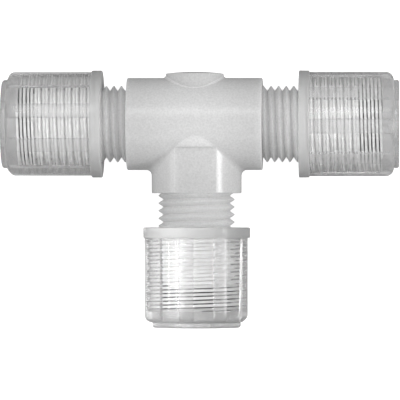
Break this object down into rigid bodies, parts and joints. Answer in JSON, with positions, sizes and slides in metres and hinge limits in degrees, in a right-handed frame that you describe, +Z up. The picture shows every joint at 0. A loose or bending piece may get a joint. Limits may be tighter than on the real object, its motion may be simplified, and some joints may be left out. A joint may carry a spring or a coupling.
{
  "type": "compression fitting",
  "caption": "Equal compression union tee in clear fluoropolymer, with ribbed nuts, sealing ferrules and grip rings on threaded stubs.",
  "frame": {"origin": "below the middle of the whole fitting, on the plane that the three nut flanges rest on", "axes": "+X along the run towards the right port, -Y along the branch, +Z up from the surface the fitting lies on; the viewer of the picture looks along -Z"},
  "size_m": [0.0742, 0.048, 0.02],
  "materials": {
    "clear_body": "milky translucent moulded fluoropolymer, smooth and slightly glossy",
    "clear_nut": "clearer translucent moulded fluoropolymer, smooth and glossy",
    "ferrule": "milky translucent machined fluoropolymer, satin"
  },
  "bodies": {
    "tee": {"tee_body": "clear_body"},
    "left_ferrules": {"left_grip_ring": "ferrule", "left_back_ferrule": "ferrule", "left_front_ferrule": "ferrule"},
    "left_nut": {"left_nut": "clear_nut"},
    "right_ferrules": {"right_grip_ring": "ferrule", "right_back_ferrule": "ferrule", "right_front_ferrule": "ferrule"},
    "right_nut": {"right_nut": "clear_nut"},
    "branch_ferrules": {"branch_grip_ring": "ferrule", "branch_back_ferrule": "ferrule", "branch_front_ferrule": "ferrule"},
    "branch_nut": {"branch_nut": "clear_nut"}
  },
  "joints": [
    {"name": "left_nut_travel", "type": "slide", "parent": "tee", "child": "left_ferrules", "axis": [-1, 0, 0], "range_m": [-0.0004, 0.0143]},
    {"name": "left_nut_spin", "type": "hinge", "parent": "left_ferrules", "child": "left_nut", "pos_m": [-0.02875, 0.014, 0.01], "axis": [-1, 0, 0], "range_deg": [-100, 3640]},
    {"name": "right_nut_travel", "type": "slide", "parent": "tee", "child": "right_ferrules", "axis": [1, 0, 0], "range_m": [-0.0019, 0.0128]},
    {"name": "right_nut_spin", "type": "hinge", "parent": "right_ferrules", "child": "right_nut", "pos_m": [0.02725, 0.014, 0.01], "axis": [1, 0, 0], "range_deg": [-480, 3260]},
    {"name": "branch_nut_travel", "type": "slide", "parent": "tee", "child": "branch_ferrules", "axis": [0, -1, 0], "range_m": [-0.0021, 0.0126]},
    {"name": "branch_nut_spin", "type": "hinge", "parent": "branch_ferrules", "child": "branch_nut", "pos_m": [-0.00075, -0.014, 0.01], "axis": [0, -1, 0], "range_deg": [-530, 3210]}
  ],
  "couplings": [
    {"joint": "left_nut_travel", "follows": "left_nut_spin", "m_per_rad": 0.00022459},
    {"joint": "right_nut_travel", "follows": "right_nut_spin", "m_per_rad": 0.00022459},
    {"joint": "branch_nut_travel", "follows": "branch_nut_spin", "m_per_rad": 0.00022459}
  ]
}
